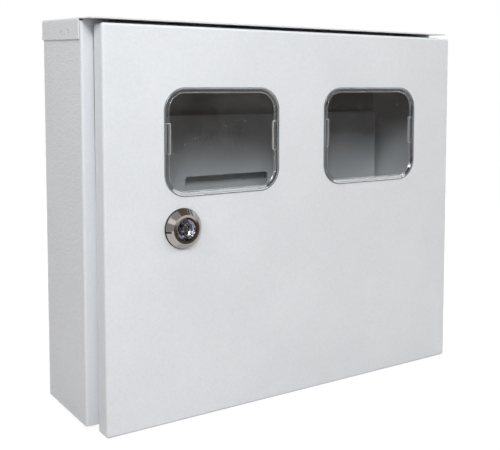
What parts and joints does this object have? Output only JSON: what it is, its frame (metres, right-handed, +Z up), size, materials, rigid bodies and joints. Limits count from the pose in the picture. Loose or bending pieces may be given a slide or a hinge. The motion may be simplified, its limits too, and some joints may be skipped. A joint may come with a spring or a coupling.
{
  "type": "electric meter box",
  "caption": "Wall-hung light grey steel meter box with a sloping roof cap and visor, a hinged door with clear rounded windows and a round quarter-turn lock.",
  "frame": {"origin": "centre of the four wall fixing holes, on the outer face of the back", "axes": "+Y into the wall, -Y out through the door, +X to the right for someone facing the door, +Z up"},
  "size_m": [0.3546, 0.1045, 0.3074],
  "materials": {
    "powder_coat": "light grey powder coat, satin",
    "clear_plastic": "clear moulded polycarbonate, polished",
    "lock_chrome": "bright chrome on cast zinc",
    "zinc_steel": "zinc-plated steel",
    "black_rubber": "matte"
  },
  "bodies": {
    "case": {"case_shell": "powder_coat", "top_cap": "powder_coat", "front_lintel": "powder_coat", "bottom_panel": "powder_coat", "meter_plate": "powder_coat", "plate_studs": "zinc_steel", "plate_spacers": "zinc_steel", "plate_washers": "zinc_steel", "plate_nuts": "zinc_steel", "din_rail": "zinc_steel", "din_rail_screws": "zinc_steel", "din_rail_nuts": "zinc_steel", "earth_stud": "zinc_steel", "earth_washer": "zinc_steel", "earth_nut": "zinc_steel", "cable_grommet_left": "black_rubber", "cable_grommet_middle": "black_rubber", "cable_grommet_right": "black_rubber", "hinge_lug_upper": "powder_coat", "hinge_lug_lower": "powder_coat"},
    "door": {"door_panel": "powder_coat", "door_gasket": "black_rubber", "window_left": "clear_plastic", "window_right": "clear_plastic", "hinge_bracket_upper": "powder_coat", "hinge_bracket_lower": "powder_coat", "hinge_pin_upper": "zinc_steel", "hinge_pin_lower": "zinc_steel", "lock_body": "lock_chrome", "lock_seal": "black_rubber", "lock_nut": "zinc_steel", "door_earth_stud": "zinc_steel", "door_earth_washer": "zinc_steel", "door_earth_nut": "zinc_steel"},
    "lock_core": {"key_plug": "lock_chrome", "lock_cam": "zinc_steel", "cam_washer": "zinc_steel", "cam_screw": "zinc_steel"}
  },
  "joints": [
    {"name": "door_swing", "type": "hinge", "parent": "case", "child": "door", "pos_m": [0.1744, -0.091, 0], "axis": [0, 0, 1], "range_deg": [0, 120]},
    {"name": "lock_turn", "type": "hinge", "parent": "door", "child": "lock_core", "pos_m": [-0.1019, -0.09, -0.0064], "axis": [0, 1, 0], "range_deg": [0, 90]}
  ]
}
